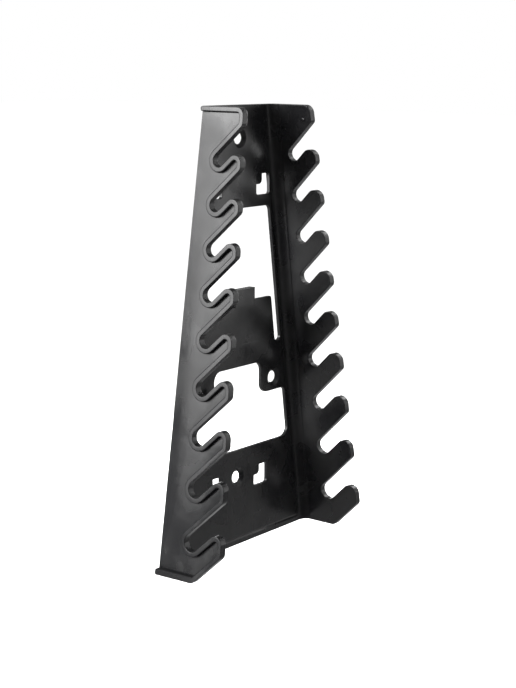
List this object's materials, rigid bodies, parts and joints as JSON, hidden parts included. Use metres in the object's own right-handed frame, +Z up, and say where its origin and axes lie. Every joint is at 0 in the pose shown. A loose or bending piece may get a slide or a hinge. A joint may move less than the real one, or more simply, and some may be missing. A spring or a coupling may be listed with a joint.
{
  "type": "wrench rack",
  "caption": "Tapered wall rack in black plastic: two side walls with slanting slots hold wrench shanks, and a flat back has screw holes, hook openings, windows and a sprung tongue.",
  "frame": {"origin": "On the wall plane, midway between the two screw holes on the centre line of the back.", "axes": "+X to the right as seen from the front, +Y into the wall, so the open front faces -Y, and +Z up."},
  "size_m": [0.155, 0.0478, 0.28],
  "materials": {
    "black_plastic": "satin moulded black, slightly mottled"
  },
  "bodies": {
    "rack": {"rail_left": "black_plastic", "rail_right": "black_plastic", "head_plate": "black_plastic", "waist_plate": "black_plastic", "foot_plate": "black_plastic", "tab_left": "black_plastic", "tab_right": "black_plastic", "web_left": "black_plastic", "web_right": "black_plastic", "mark_left": "black_plastic", "mark_right": "black_plastic", "finger_left_1": "black_plastic", "finger_left_2": "black_plastic", "finger_left_3": "black_plastic", "finger_left_4": "black_plastic", "finger_left_5": "black_plastic", "finger_left_6": "black_plastic", "finger_left_7": "black_plastic", "finger_left_8": "black_plastic", "finger_left_9": "black_plastic", "finger_left_10": "black_plastic", "finger_right_1": "black_plastic", "finger_right_2": "black_plastic", "finger_right_3": "black_plastic", "finger_right_4": "black_plastic", "finger_right_5": "black_plastic", "finger_right_6": "black_plastic", "finger_right_7": "black_plastic", "finger_right_8": "black_plastic", "finger_right_9": "black_plastic", "finger_right_10": "black_plastic"},
    "tongue": {"tongue": "black_plastic", "thumb_pad": "black_plastic"}
  },
  "joints": [
    {"name": "tongue_flex", "type": "hinge", "parent": "rack", "child": "tongue", "pos_m": [0, -0.0024, -0.02125], "axis": [1, 0, 0], "range_deg": [0, 6], "stiffness_Nm_per_rad": 8}
  ]
}
